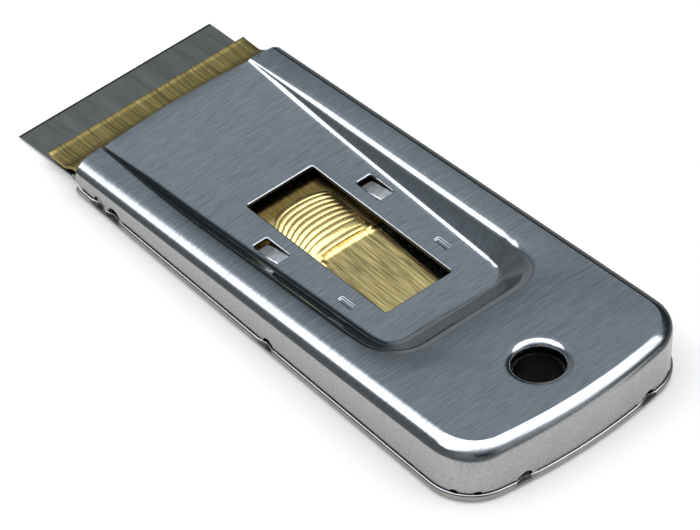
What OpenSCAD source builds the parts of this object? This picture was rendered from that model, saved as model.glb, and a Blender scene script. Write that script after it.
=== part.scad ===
// Razor blade scraper with a retractable blade holder.
// A pressed steel shell is closed from below by a shallow steel tray. A brass
// blade holder slides between them, along the plane of its single-edge blade,
// and is moved by a ribbed thumb pad in the shell's window.
// The origin is the axis of the hanging hole at the underside of the tray,
// +Y points to the blade, +X to the right and +Z up.

/* [Blade] */
// Width of the razor blade along its cutting edge
blade_w = 38.1; // [30:0.1:50]
// Length of the blade from the cutting edge to the back of its spine
blade_l = 19; // [17:0.5:22]
// Thickness of the blade
blade_t = 0.23; // [0.2:0.01:0.35]
// Length of the ground bevel at the cutting edge
bevel_l = 0.9; // [0.5:0.1:2]
// Width of the folded spine, front to back
spine_l = 6.4; // [4.5:0.1:7]
// Thickness of the folded spine over both leaves
spine_t = 0.95; // [0.8:0.05:1.2]
// How far the cutting edge stands out of the shell's front corners
blade_out = 15.1; // [12:0.1:17]
// Height of the cutting edge above the ground
edge_h = 0.2; // [0.1:0.05:0.6]
// Slope of the blade and of the way it slides, in degrees
blade_tilt = 2.75; // [2:0.25:3.5]

/* [Shell] */
// Thickness of the shell's sheet
shell_t = 0.55; // [0.4:0.05:0.7]
// Height of the top face at the front edge
front_h = 5.66; // [5.4:0.02:7]
// Rise of the top face towards the rear, in degrees
top_tilt = 3.37; // [2:0.01:5]
// Splay of each side wall towards the rear, in degrees
side_splay = 1.38; // [0:0.02:3]
// Distance from the hanging hole to the rear wall of the shell
rear_l = 10.45; // [9:0.05:14]
// Radius of the rear corners in plan
corner_r = 6.6; // [4:0.1:8]
// How far the rear wall bows out between its corners
rear_bow = 1.2; // [0.4:0.1:2]
// How far the front edge bows out between its corners
front_bow = 1.25; // [0.5:0.05:2]
// Radius of the top edge at the front
edge_front_r = 1.7; // [1:0.1:2.2]
// Radius of the top edge at the rear
edge_rear_r = 2.7; // [1.5:0.1:3.5]

/* [Panel] */
// Height of the recessed panel at its rear end
panel_rear_h = 5.6; // [5.2:0.05:6]
// Height of the recessed panel at its lowest place
panel_low_h = 4.9; // [4.8:0.05:5.2]
// Slope of the walls round the panel, from vertical, in degrees
panel_wall = 42; // [30:1:50]
// Splay of the panel's long edges, in degrees
panel_splay = 1.8; // [0:0.1:3]
// Radius of the panel's rear corners
panel_corner_r = 3.5; // [2:0.1:5]
// Plain panel behind the window
rear_land = 6.3; // [5:0.1:8]
// Plain panel in front of the window
front_land = 23; // [19:0.5:28]
// Width of the rounded crest round the panel
crest_w = 1; // [0.4:0.1:1.4]

/* [Window and thumb pad] */
// Width of the thumb window
window_w = 13; // [11:0.1:15]
// How far the blade edge hides behind the shell's front corners when drawn in
blade_hide = 1.9; // [1:0.1:3]
// Length of the ribbed thumb pad
pad_l = 10.4; // [8:0.1:12]
// Width of the ribbed thumb pad
pad_w = 12; // [9:0.1:12.4]
// Height of the thumb pad above the leaf that carries it
pad_h = 1.5; // [1:0.05:2]
// Number of ribs across the thumb pad
ribs = 9; // [6:1:11]
// Height of each rib
rib_h = 0.28; // [0.1:0.02:0.4]
// Width of the tongue behind the pad
tongue_w = 12.1; // [8:0.1:12.4]

/* [Tray] */
// Thickness of the tray's sheet
tray_t = 0.35; // [0.3:0.05:0.6]
// Height of the tray's upturned wall
tray_h = 1.6; // [1.3:0.1:2.4]
// Radius of the tray's lower edge
tray_edge_r = 0.8; // [0.6:0.05:1]
// Depth of the relief in the front of the tray's floor
relief_l = 6; // [4:0.5:8]

/* [Hanging hole] */
// Radius of the hole through the eyelet
hole_r = 3.75; // [3:0.05:4.5]
// Wall of the eyelet
eyelet_t = 0.4; // [0.3:0.05:0.5]
// Depth of the eyelet's top edge below the shell's top face
eyelet_drop = 2.4; // [1.8:0.1:4]

/* [Hidden] */
$fn = 96;
// Number of sides of the round corners inside a hull
hull_fn = 32;

// Running and seating clearances
side_gap = 0.3;       // blade holder to the shell's side walls
roof_gap = 0.3;      // blade holder to the panel above it
seam_gap = 0.05;      // shell wall to tray wall
spine_gap = 0.01;     // blade to the leaves of its spine
jaw_gap = 0.65;       // spine to the flat of the blade holder above the blade
hook_gap = 0.08;      // thumb leaf to the blade holder above it
end_gap = 0.3;        // thumb pad to the window's rear edge, drawn in
stop_gap = 0.85;      // tongue to the eyelet, drawn in
cut = 1;              // how far a cutter runs past what it cuts

// The slide
travel = blade_out + blade_hide;
run = travel * cos(blade_tilt);
lift = travel * sin(blade_tilt);

// Brass sheet
brass_t = 0.5;
plate_t = 0.3;
strip_over = 0.4;
strip_w = blade_w + 2 * strip_over;

// Places along the handle, from the hanging hole to the cutting edge
eyelet_r = hole_r + eyelet_t;
tongue_tuck = 3.94;
finger_gap = 3.4;
tongue_y = eyelet_r + stop_gap + run;
window_y0 = tongue_y + tongue_tuck;
pad_y0 = window_y0 + end_gap + run;
pad_y1 = pad_y0 + pad_l;
window_y1 = pad_y1 + finger_gap;
front_y = window_y1 + front_land;
edge_y = front_y + blade_out;

// Heights and half widths of the shell
function top_z(y) = front_h + (front_y - y) * tan(top_tilt);
function half_w(y) = strip_w / 2 + side_gap + shell_t + (front_y - y) * tan(side_splay);

// Lanced tabs and half-sheared lugs beside the window
tab_w = 2.8;
tab_l = 5.2;
tab_drop = 0.85;
tab_slit = 0.2;
tab_land = 2.4;
tab_x = window_w / 2 + tab_land;
tab_y0 = pad_y0 + 1.35 * tab_w / 2.8;
lug_w = 1.25;
lug_l = 3.2;
lug_h = 0.3;
lug_y0 = window_y0 + 3.7 * lug_l / 3.2;
window_r = 0.4;

// The panel
panel_margin = 0.6;
panel_y0 = window_y0 - rear_land;
panel_low_y = window_y1 + front_land * 0.22;
function panel_half(y) = tab_x + tab_w + panel_margin + (y - panel_y0) * tan(panel_splay);
function panel_z(y) = y < panel_low_y
    ? panel_rear_h + (panel_low_h - panel_rear_h) * (y - panel_y0) / (panel_low_y - panel_y0)
    : panel_low_h + (front_h - panel_low_h) * (y - panel_low_y) / (front_y - panel_low_y);

// Height of the blade's middle plane, and of the sheets of the blade holder
function blade_z(y) = edge_h + (edge_y - y) * tan(blade_tilt);
plate_z = panel_low_h - shell_t - roof_gap - lift;
strip_z = plate_z + brass_t / 2;
plate_y = front_y - 0.565 * front_land;
neck_y = window_y1 + front_land * 0.22;
neck_over = 1.5;       // neck of the leaf and strip, past the window on each side
neck_w = window_w + 2 * neck_over;

// A steep path of points between two heights, with level ends
ease_n = 8;
function ease(y0, z0, y1, z1) = [for (i = [1:ease_n])
    let (u = i / ease_n) [y0 + (y1 - y0) * u, z0 + (z1 - z0) * (1 - cos(180 * u)) / 2]];

// Outline of a bent sheet: the path is its upper face, t its thickness
function dir(p, i) = let (
    a = p[max(i - 1, 0)], b = p[min(i + 1, len(p) - 1)], d = b - a) d / norm(d);
function sheet(p, t) = concat(p, [for (k = [len(p) - 1:-1:0])
    let (d = dir(p, k)) p[k] + t * [d[1], -d[0]]]);

// Extrudes an outline drawn in Y and Z across the width w, centred on X
module across(w) {
    translate([-w / 2, 0, 0]) rotate([90, 0, 90]) linear_extrude(w) children();
}

// A round post with a rounded top edge
module post(r, h, edge, fn = hull_fn) {
    rotate_extrude($fn = fn) {
        square([r - edge, h]);
        square([r, h - edge]);
        translate([r - edge, h - edge]) intersection() {
            circle(edge, $fn = hull_fn);
            square(edge);
        }
    }
}

// Centres of the posts that round the plan: corners, rear bow and open front
function rear_spots(r) = let (x = half_w(0) - corner_r, y = -rear_l + corner_r)
    [for (a = [-1:0.25:1]) [a * x, y + rear_bow * a * a]];

// The pressed form of the shell, drawn in by d
module shell_form(d) {
    below = 2 * tray_edge_r;
    hull() {
        for (p = rear_spots(corner_r))
            translate([p[0], p[1], 0]) rotate([-top_tilt, 0, 0]) translate([0, 0, -below])
                post(corner_r - d, below + top_z(p[1]) * cos(top_tilt) - d, edge_rear_r - d);
        for (s = [-1, 1])
            translate([s * (half_w(front_y + 2 * front_bow) - 2 * edge_front_r), front_y + 2 * front_bow, 0])
                rotate([-top_tilt, 0, 0]) translate([0, 0, -below])
                post(2 * edge_front_r - d, below + top_z(front_y + 2 * front_bow) * cos(top_tilt) - d,
                     edge_front_r - d);
    }
}

// The hollow above the panel: grow thickens it to the sheet below,
// rise and flare start it higher with a flatter wall, for the rounded crest
module panel_form(drop, grow, wall) {
    high = front_h + top_z(0);
    module cone(x, y, r, z) {
        translate([x, y, z]) cylinder(h = high - z, r1 = r, r2 = r + (high - z) * tan(wall), $fn = hull_fn);
    }
    hull() for (s = [-1, 1]) {
        cone(s * (panel_half(panel_y0) - panel_corner_r), panel_y0 + panel_corner_r,
             panel_corner_r + grow, panel_z(panel_y0) - drop);
        cone(s * (panel_half(panel_low_y) - panel_margin), panel_low_y, panel_margin + grow,
             panel_low_h - drop);
        cone(s * (panel_half(front_y) - panel_margin), front_y + 2 * front_bow, panel_margin + grow,
             panel_z(front_y + 2 * front_bow) - drop);
    }
}

// The rounded crest round the hollow: a flatter cut that starts just below the top
// face, and less deep at the front
module crest_form() {
    drop = crest_w * 0.45;
    module ring(x, y, z) {
        r = panel_corner_r + max(z - panel_z(y), 0) * tan(panel_wall);
        translate([x, y, z]) cylinder(h = 2 * drop, r1 = r, r2 = r + 2 * crest_w, $fn = hull_fn);
    }
    hull() for (s = [-1, 1]) {
        ring(s * (panel_half(panel_y0) - panel_corner_r), panel_y0 + panel_corner_r,
             top_z(panel_y0 + panel_corner_r) - drop);
        ring(s * (panel_half(front_y) - panel_corner_r), front_y + 2 * front_bow,
             top_z(front_y + 2 * front_bow) - 0.3 * drop);
    }
}

// Rolled-in rim of the hole in the shell, let into the edge of the sheet
rim_r = 1.2;
rim_lap = 0.35;
rim_end = 0.15;
shell_hole_r = hole_r + 0.25 * hole_r / 3.75;
rim_c = shell_hole_r + rim_r;
module rim_section() {
    translate([rim_c, -rim_r]) intersection() {
        difference() {
            circle(rim_r);
            circle(rim_r - shell_t);
        }
        translate([-rim_r, 0]) square([rim_r - rim_end, rim_r]);
    }
    translate([rim_c - rim_lap, -0.8 * shell_t]) square([2 * rim_lap, 0.6 * shell_t]);
}
module on_top_face() {
    translate([0, 0, top_z(0)]) rotate([-top_tilt, 0, 0]) children();
}

// Half-round notches in the shell's wall, where the tray is crimped in
notch_r = 1.3;
notch_side_share = [0.93, 0.888, 0.44];
notch_rear_share = [-0.52, 0.58];
crimp_r = 0.7;
crimp_in = 0.5;
module at_notches() {
    for (s = [-1, 1]) for (f = notch_side_share)
        translate([s * half_w(f * front_y), f * front_y, tray_h]) rotate([0, s * 90, 0]) children();
    for (f = notch_rear_share)
        translate([f * half_w(0), -rear_l + rear_bow * f * f, tray_h]) rotate([90, 0, 0]) children();
}

// Front edge of the shell, bowed in plan
module front_trim(h) {
    r = (half_w(front_y) * half_w(front_y) + front_bow * front_bow) / (2 * front_bow);
    translate([0, front_y + front_bow - r, -cut]) cylinder(h = h + 2 * cut, r = r, $fn = 360);
}

module top_shell() color([0.56, 0.58, 0.62]) {
    low = tray_edge_r;
    difference() {
        intersection() {
            union() {
                difference() {
                    shell_form(0);
                    panel_form(0, 0, panel_wall);
                    crest_form();
                    difference() {
                        shell_form(shell_t);
                        panel_form(shell_t, shell_t * (1 / cos(panel_wall) - tan(panel_wall)), panel_wall);
                    }
                    on_top_face() translate([0, 0, -rim_r - cut])
                        cylinder(h = rim_r + 2 * cut, r = rim_c - rim_lap);
                }
                on_top_face() rotate_extrude() rim_section();
                lugs();
            }
            front_trim(top_z(-rear_l));
        }
        // open underside
        translate([-half_w(-rear_l) - cut, -rear_l - corner_r, -4 * tray_edge_r])
            cube([2 * (half_w(-rear_l) + cut), edge_y + corner_r + rear_l, 4 * tray_edge_r + low]);
        // thumb window
        translate([0, 0, panel_low_h - shell_t - cut]) linear_extrude(shell_t + 3 * cut)
            window_outline();
        // slits round the tabs
        for (s = [-1, 1]) translate([s * (tab_x + tab_w / 2), tab_y0, panel_low_h - shell_t - cut])
            linear_extrude(shell_t + 3 * cut) translate([-tab_w / 2, 0]) square([tab_w, tab_l]);
        // shallow hollows above the lugs
        for (s = [-1, 1]) translate([s * (tab_x + lug_w / 2) - lug_w / 2, lug_y0, panel_z(lug_y0 + lug_l / 2) - lug_h])
            cube([lug_w, lug_l, lug_h + cut]);
        at_notches() translate([0, 0, -shell_t - cut]) cylinder(h = shell_t + 2 * cut, r = notch_r);
    }
    tabs();
}
module window_outline() {
    r = window_r;
    x = window_w / 2 - r;
    for (s = [-1, 1]) translate([s * x, 0]) {
        translate([0, window_y0 + r]) circle(r);
        translate([0, window_y1 - r]) circle(r);
    }
    translate([-window_w / 2, window_y0 + r]) square([window_w, window_y1 - window_y0 - 2 * r]);
    translate([-x, window_y0]) square([2 * x, window_y1 - window_y0]);
}
module lugs() {
    for (s = [-1, 1]) translate([s * (tab_x + lug_w / 2) - lug_w / 2, lug_y0,
                                 panel_z(lug_y0 + lug_l / 2) - shell_t - lug_h])
        cube([lug_w, lug_l, shell_t]);
}
// The tabs, hinged at their rear and bent down towards the front
module tabs() {
    tip = tab_l - 3 * tab_slit;
    z = panel_z(tab_y0);
    for (s = [-1, 1]) translate([s * (tab_x + tab_w / 2), 0, 0])
        across(tab_w - 2 * tab_slit) polygon(sheet(concat(
            [[tab_y0 - shell_t / 2, z - shell_t * 0.05]],
            ease(tab_y0, z - shell_t * 0.05, tab_y0 + tip, z - tab_drop)), shell_t * 0.9));
}

// The tray's pressed form, drawn in by d
tray_wall = tray_t + seam_gap;
module tray_form(d) {
    r = corner_r + tray_wall;
    hull() {
        for (p = rear_spots(corner_r))
            translate([p[0], p[1], tray_h + d]) mirror([0, 0, 1]) post(r - d, tray_h, tray_edge_r - d);
        for (s = [-1, 1])
            translate([s * (half_w(front_y + 2 * front_bow) + tray_wall - 2 * tray_edge_r),
                       front_y + 2 * front_bow, tray_h + d])
                mirror([0, 0, 1]) post(2 * tray_edge_r - d, tray_h, tray_edge_r - d);
    }
}
// Raised seat round the hole in the tray's floor, above the eyelet's flange
flange_w = 1.5;
seat_r = eyelet_r + flange_w + 2 * seam_gap;
tray_front_y = front_y - 0.4 * tray_t / 0.4;
module base_tray() color([0.60, 0.61, 0.63]) {
    difference() {
        union() {
            difference() {
                tray_form(0);
                tray_form(tray_t);
            }
            translate([0, 0, 0]) cylinder(h = 2 * tray_t + seam_gap, r = seat_r + tray_t);
            crimps();
        }
        translate([0, 0, -cut]) cylinder(h = cut + tray_t + seam_gap, r = seat_r);
        translate([0, 0, -cut]) cylinder(h = tray_h + cut, r = eyelet_r + seam_gap);
        // square front end, and relief in the floor for the blade
        translate([-half_w(0) - cut, tray_front_y, -cut])
            cube([2 * (half_w(0) + cut), 4 * front_bow + 2 * cut, tray_h + 2 * cut]);
        translate([-strip_w / 2, tray_front_y - relief_l, -cut]) cube([strip_w, relief_l + cut, tray_h + cut]);
    }
}
// Half-round crimps of the tray's wall into the shell's notches
module crimps() {
    intersection() {
        at_notches() translate([0, 0, -crimp_in]) cylinder(h = crimp_in + tray_wall - tray_t / 2, r = crimp_r);
        translate([-2 * half_w(0), -2 * rear_l, tray_edge_r])
            cube([4 * half_w(0), edge_y + 2 * rear_l, tray_h - tray_edge_r]);
    }
}

eyelet_top = top_z(0) - eyelet_drop;
module hole_eyelet() color([0.66, 0.67, 0.68]) rotate_extrude() {
    translate([hole_r, 0]) square([eyelet_t, eyelet_top]);
    translate([hole_r, 0]) square([eyelet_t + flange_w, tray_t]);
}

// Upper face of the blade holder's strip, from its lip back under the panel
lip_l = blade_out * 0.5;
lip_y = edge_y - lip_l;
dip_y = lip_y - 2.6 * blade_l / 19;
dip_l = 0.7;
rise_y = dip_y - dip_l - 2.6 * blade_l / 19;
dip_z = blade_z(dip_y) + spine_t / 2 + jaw_gap + brass_t;
lip_bend = 1;
lip_rise = 0.12;
roof_z = plate_z + 0.3 * brass_t;
function strip_path() = concat(
    [[lip_y, dip_z + lip_rise]], ease(lip_y, dip_z + lip_rise, lip_y - lip_bend, dip_z),
    [[dip_y - dip_l, dip_z]], ease(dip_y - dip_l, dip_z, rise_y, roof_z),
    ease(rise_y, roof_z, plate_y + 4 * brass_t, plate_z), [[neck_y, plate_z]]);

module blade_holder() color([0.72, 0.60, 0.32]) intersection() {
    across(strip_w) polygon(sheet([for (p = strip_path()) p], -brass_t));
    linear_extrude(front_h + cut) holder_outline();
}
module holder_outline() {
    r = brass_t;
    translate([-strip_w / 2, plate_y]) square([strip_w, edge_y - plate_y]);
    translate([-neck_w / 2, neck_y - cut]) square([neck_w, plate_y - neck_y + 2 * cut]);
}

// Lower jaw: under the spine, up behind it and flat under the strip
spine_y = edge_y - blade_l * cos(blade_tilt);
jaw_front_y = spine_y + 0.75 * spine_l;
jaw_wall_y = spine_y - side_gap;
jaw_z = plate_z - brass_t;
jaw_w = blade_w - 2 * strip_over;
function jaw_path() = let (low = spine_t / 2 / cos(blade_tilt) + spine_gap) concat(
    [[jaw_front_y, blade_z(jaw_front_y) - low]],
    [[jaw_wall_y + plate_t, blade_z(jaw_wall_y + plate_t) - low]],
    ease(jaw_wall_y + plate_t, blade_z(jaw_wall_y + plate_t) - low, jaw_wall_y - 8 * plate_t, jaw_z),
    [[plate_y + plate_t, jaw_z]]);
module backing_plate() color([0.70, 0.58, 0.31])
    across(jaw_w) polygon(sheet(jaw_path(), -plate_t));

// Blade and spine are drawn flat, with the cutting edge on the X axis, then tilted
module on_blade() {
    translate([0, edge_y, edge_h]) rotate([-blade_tilt, 0, 0]) children();
}
module razor_blade() color([0.40, 0.42, 0.42]) on_blade()
    across(blade_w) polygon([
        [0, 0], [-bevel_l, blade_t / 2], [-blade_l + spine_fold, blade_t / 2],
        [-blade_l + spine_fold, -blade_t / 2], [-bevel_l, -blade_t / 2]]);
spine_fold = 0.4;
module blade_spine() color([0.50, 0.51, 0.52]) on_blade() difference() {
    across(blade_w) translate([-blade_l, -spine_t / 2]) square([spine_l, spine_t]);
    across(blade_w + 2 * cut) translate([-blade_l + spine_fold, -blade_t / 2 - spine_gap])
        square([spine_l, blade_t + 2 * spine_gap]);
}

// Thumb leaf: hook under the blade holder, neck, ears, pad and tongue
leaf_z = plate_z;
hook_z = plate_z - brass_t - hook_gap;
hook_l = 3.5;
ear_w = 3.6;
ear_l = tab_l * 0.92;
ear_y0 = tab_y0 + tab_l + end_gap;
tongue_drop = 0.35;
curl_l = 3;
curl_drop = 0.85;
function leaf_path() = concat(
    [[neck_y + hook_l, hook_z]], [[neck_y + side_gap, hook_z]],
    ease(neck_y + side_gap, hook_z, neck_y - 3 * brass_t, leaf_z),
    [[pad_y0, leaf_z]],
    [[tongue_y + curl_l, leaf_z - tongue_drop]],
    ease(tongue_y + curl_l, leaf_z - tongue_drop, tongue_y, leaf_z - tongue_drop - curl_drop));
module leaf_outline() {
    translate([-neck_w / 2, pad_y0]) square([neck_w, neck_y + hook_l - pad_y0 + cut]);
    translate([-tongue_w / 2, tongue_y - cut]) square([tongue_w, pad_y0 - tongue_y + 2 * cut]);
    translate([-(tab_x + ear_w), ear_y0]) square([2 * (tab_x + ear_w), ear_l]);
}

// The ribbed pad: a ramp that rises to the rear, crowned across and ribbed
pad_nx = 16;
rib_steps = 6;
pad_ny = ribs * rib_steps;
face_l = 0.7;
pad_bow = 1.8;
function pad_crown(v) = max(0, 1 - pow(abs(v), 2.6));
function pad_rise(u, v) = // u runs front to rear, v from -1 to 1 across
    let (ramp = pow(sin(90 * min(u / 0.92, 1)), 0.8),
         ridge = pow(abs(sin(180 * ribs * u)), 0.6))
    pad_crown(v) * (ramp * (pad_h - rib_h) + rib_h * ridge * min(1, u * ribs));
pad_foot_z = leaf_z - brass_t / 2;
function pad_point(i, j) =
    let (v = -1 + 2 * i / pad_nx, u = j / pad_ny)
    [v * pad_w / 2, pad_y1 - u * (pad_l - face_l) - pad_bow * (1 - u) * (1 - pad_crown(v)),
     abs(v) == 1 || j == 0 ? pad_foot_z : leaf_z + pad_rise(u, v)];
function pad_back(i) =
    let (v = -1 + 2 * i / pad_nx)
    [v * pad_w / 2, pad_y0, abs(v) == 1 ? pad_foot_z : leaf_z + pad_back_share * pad_rise(1 - 0.5 / ribs, v)];
pad_back_share = 0.2;
module pad() {
    n = pad_nx + 1;
    last = pad_ny + 1;
    m = n * (last + 1);
    top = concat([for (j = [0:pad_ny]) for (i = [0:pad_nx]) pad_point(i, j)],
                 [for (i = [0:pad_nx]) pad_back(i)]);
    under = [for (p = top) [p[0], p[1], leaf_z - 0.75 * brass_t]];
    front = [for (i = [0:pad_nx]) i];
    right = [for (j = [1:last]) j * n + pad_nx];
    rear = [for (i = [pad_nx - 1:-1:0]) last * n + i];
    left = [for (j = [last - 1:-1:1]) j * n];
    rim = concat(front, right, rear, left);
    faces = concat(
        [for (j = [0:last - 1]) for (i = [0:pad_nx - 1]) for (t = [0, 1])
            let (a = j * n + i, b = a + 1, c = a + n, d = c + 1) t == 0 ? [a, b, c] : [b, d, c]],
        [[for (k = [len(rim) - 1:-1:0]) m + rim[k]]],
        [for (k = [0:len(rim) - 1]) let (a = rim[k], b = rim[(k + 1) % len(rim)]) [b, a, m + a, m + b]]);
    polyhedron(concat(top, under), faces, convexity = 6);
}
module thumb_slide() color([0.76, 0.64, 0.34]) difference() {
    union() {
        intersection() {
            across(2 * (tab_x + ear_w)) polygon(sheet(leaf_path(), -brass_t));
            linear_extrude(front_h + cut) leaf_outline();
        }
        pad();
    }
    // the pad is pressed up from below, so it is hollow
    hull() {
        translate([-pad_w / 2 + 3 * brass_t, pad_y0 + 2 * brass_t, leaf_z - brass_t - cut])
            cube([pad_w - 6 * brass_t, pad_l - 6 * brass_t, cut]);
        translate([-pad_w / 2 + 4 * brass_t, pad_y0 + 2 * brass_t, leaf_z - brass_t - cut])
            cube([pad_w - 8 * brass_t, brass_t, cut + pad_h]);
    }
}

top_shell();
base_tray();
hole_eyelet();
blade_holder();
backing_plate();
thumb_slide();
razor_blade();
blade_spine();
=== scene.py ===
"""Looks of a razor blade scraper with a retractable brass blade holder.

Laid out as an add-on: one operator for each piece of the scraper, one for the
stage, and a panel that lists them. Lengths in the code are millimetres, in the
frame of the CAD model, and MM turns them into metres. The blade is at the
front, towards +y, and +z is up.
"""

import math

import bmesh
import bpy
from bpy.props import FloatProperty, FloatVectorProperty, IntProperty, PointerProperty
from mathutils import Matrix, Vector
from mathutils.geometry import delaunay_2d_cdt


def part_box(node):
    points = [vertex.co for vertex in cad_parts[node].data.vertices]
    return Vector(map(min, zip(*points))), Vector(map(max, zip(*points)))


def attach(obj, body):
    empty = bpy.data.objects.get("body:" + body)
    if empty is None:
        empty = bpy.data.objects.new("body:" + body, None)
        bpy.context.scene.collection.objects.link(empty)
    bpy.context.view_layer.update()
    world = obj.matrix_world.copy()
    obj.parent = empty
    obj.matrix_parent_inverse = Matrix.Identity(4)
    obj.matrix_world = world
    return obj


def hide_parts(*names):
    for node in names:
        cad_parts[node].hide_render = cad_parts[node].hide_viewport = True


bl_info = {
    "name": "Razor blade scraper",
    "version": (1, 0, 0),
    "blender": (4, 5, 0),
    "location": "View3D > Sidebar > Scraper",
    "description": "Builds the pressed steel handle, the brass blade holder and the blade",
    "category": "Add Mesh",
}

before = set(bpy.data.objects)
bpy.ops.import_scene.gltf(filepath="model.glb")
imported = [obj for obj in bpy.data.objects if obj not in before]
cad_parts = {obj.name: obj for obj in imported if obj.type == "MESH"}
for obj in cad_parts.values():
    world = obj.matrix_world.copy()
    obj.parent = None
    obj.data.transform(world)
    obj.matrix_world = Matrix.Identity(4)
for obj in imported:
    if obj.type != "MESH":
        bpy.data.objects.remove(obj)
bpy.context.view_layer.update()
MM = 0.001
X, Y, Z = range(3)


def cad_low(node, axis):
    """Where a CAD piece begins along an axis, to 0.01 mm."""
    return round(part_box(node)[0][axis] / MM, 2)


def cad_high(node, axis):
    """Where a CAD piece ends along an axis, to 0.01 mm."""
    return round(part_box(node)[1][axis] / MM, 2)


# The shell: its plan, its slope and its sheet. BOW is how far an edge bows out, HALF half a width,
# and BULGE how far the wall leans out over the tray
FRONT_Y = 80.0
FRONT_BOW = 1.25
REAR_Y = -10.45
REAR_BOW = 1.2
HALF_FRONT = 20.3
HALF_REAR = 22.2
SIDE_SPLAY = math.tan(math.radians(1.38))
CORNER_R = 7.8
TOP_FRONT_Z = 5.66
TOP_SLOPE = math.tan(math.radians(3.37))
SHELL_SHEET = 0.55
WALL_LOW_Z = cad_low("top_shell", Z)
BULGE = 0.14

# The shell's rounded edge: radius of its first arc, and of its last two at the rear and at the sides,
# where they grow to the rear, and by how many degrees each step of its section has turned down
EDGE_FIRST_R = 0.7
EDGE_REAR_R = 2.4
EDGE_SIDE_R = 0.95
EDGE_SIDE_GROWTH = 1.1
EDGE_ANGLES = (0, 6, 12, 17, 21.5, 24, 27, 31, 35, 39, 44, 49, 54, 59, 64, 69, 74, 79, 84, 90)
ARC_ENDS = (22, 39, 64)

# The recessed panel: its rear, its lowest place, its width, its end at the front and its lugs
PANEL_Y0 = 19.0
PANEL_REAR_Z = 5.6
PANEL_LOW_Y = 62.1
PANEL_LOW_Z = 4.9
PANEL_BEND = 0.25
PANEL_HALF = 11.75
PANEL_SPLAY = math.tan(math.radians(2.4))
PANEL_OVERRUN = 2.5
FRONT_DIP = 0.38
LEFT_WALL_OUT = 0.2
LUG_R = 0.36
LUG_DEPTH = 0.26
LUG_RUN = 0.3

# The hanging hole and its rolled rim
HOLE_R = 3.9
ROLL_R = 1.2
ROLL_W = 1.4

# The tray, the rows of its rim as (inset, height), its crimps, the relief for the blade and the seat
# of the eyelet. Notches are (place, radius), and the cuts round the rear corners are in degrees
TRAY_H = cad_high("base_tray", Z)
TRAY_OUT = 0.4
TRAY_SHEET = 0.35
TRAY_EDGE_R = 0.8
TRAY_FRONT_Y = cad_high("base_tray", Y)
TRAY_RIM = [(0.26, TRAY_H), (0.15, 1.57), (0.07, 1.51), (0.02, 1.42), (0.0, 1.3), (0.0, 1.15), (0.0, 1.0)]
CRIMP_DEPTH = 0.55
NOTCHES_SIDE = [(0.93 * FRONT_Y, 1.3), (0.888 * FRONT_Y, 1.3), (0.44 * FRONT_Y, 1.15)]
NOTCHES_REAR = [(-0.52 * HALF_REAR, 1.3), (0.58 * HALF_REAR, 1.3)]
NOTCH_Z = TRAY_H + 0.1
NOTCH_TALL = 1.02
CORNER_CUTS = (209.0, 235.0)
CORNER_CUT_R = 0.55
RELIEF_HALF = cad_high("blade_holder", X)
RELIEF_Y = 73.6
SEAT_HOLE_R = 4.2
SEAT_R = 5.75
SEAT_FOOT_R = 5.95
SEAT_LIFT = 0.4

# The blade: its cutting edge, its slope and its sheet
EDGE_Y = cad_high("razor_blade", Y)
EDGE_Z = 0.2
TILT = math.radians(2.75)
BLADE_HALF = cad_high("razor_blade", X)
BLADE_DEPTH = 18.6
BLADE_SHEET = 0.23

# The blade holder: a wide strip in front, whose lip falls to a dip and rises again under the
# panel's roof, and a narrow plate behind it
BRASS_SHEET = 0.5
TRAVEL = 17.0
ROOF_GAP = 0.3
SPINE_HALF_T = 0.475
JAW_GAP = 0.65
PLATE_Z = PANEL_LOW_Z - SHELL_SHEET - ROOF_GAP - TRAVEL * math.sin(TILT)
PLATE_HALF = 8.0
PLATE_REAR_Y = 62.1
STRIP_HALF = cad_high("blade_holder", X)
STRIP_REAR_Y = 67.0
LIP_BACK = 7.55
LIP_BEND = 1.0
LIP_RISE = 0.12
DIP_FALL_L = 2.6
DIP_L = 0.7
ROOF_RISE = 0.15
ROOF_END_Y = 68.7

# The thumb leaf: its neck, its ears, its tongue, and the ribbed pad on it, of whose length
# EVEN_RIBS is the share with even ribs
LEAF_FRONT_Y = 62.3
LEAF_HALF = 8.0
EAR_HALF = cad_high("thumb_slide", X)
EAR_Y0, EAR_Y1 = 50.0, 54.5
TONGUE_HALF = 6.35
TONGUE_REAR_HALF = 5.75
TONGUE_REAR_Y = cad_low("thumb_slide", Y)
PAD_Y0, PAD_Y1 = 42.2, 54.4
PAD_HALF = 6.0
PAD_HEIGHT = 1.5
PAD_FACE = 0.7
PAD_BOW = 2.0
EVEN_RIBS = 0.83


def both_sides(x0, x1, y0, y1):
    """A rectangle in plan, and its mirror image on the left."""
    return [(x0, x1, y0, y1), (-x1, -x0, y0, y1)]


# The openings and the lugs in the panel, as rectangles with the radius of their corners
WINDOW = (-6.5, 6.5, 25.9, 56.98)
TABS = both_sides(8.9, 11.7, 44.53, 49.73)
LUGS = both_sides(8.9, 10.15, 29.6, 32.8)
HOLES = [(WINDOW, 0.4)] + [(tab, 0.3) for tab in TABS]


# Shape of the shell
def smooth(u):
    """Soft step from 0 to 1."""
    u = min(max(u, 0.0), 1.0)
    return u * u * (3 - 2 * u)


def soft_max(a, b, k):
    """The larger of two values, rounded over where they are closer than k."""
    h = max(k - abs(a - b), 0.0) / k
    return max(a, b) + h * h * k / 4


def soft_min(a, b, k):
    """The smaller of two values, rounded over where they are closer than k."""
    return -soft_max(-a, -b, k)


def half_w(y):
    """Half width of the shell at y."""
    return HALF_FRONT + (FRONT_Y - max(y, 0.0)) * SIDE_SPLAY


def top_z(y):
    """Height of the shell's flat top face."""
    return TOP_FRONT_Z + (FRONT_Y - y) * TOP_SLOPE


def front_edge_y(x):
    """The shell's front edge bows a little to the front."""
    return FRONT_Y + FRONT_BOW * (1 - (x / HALF_FRONT) ** 2)


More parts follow.
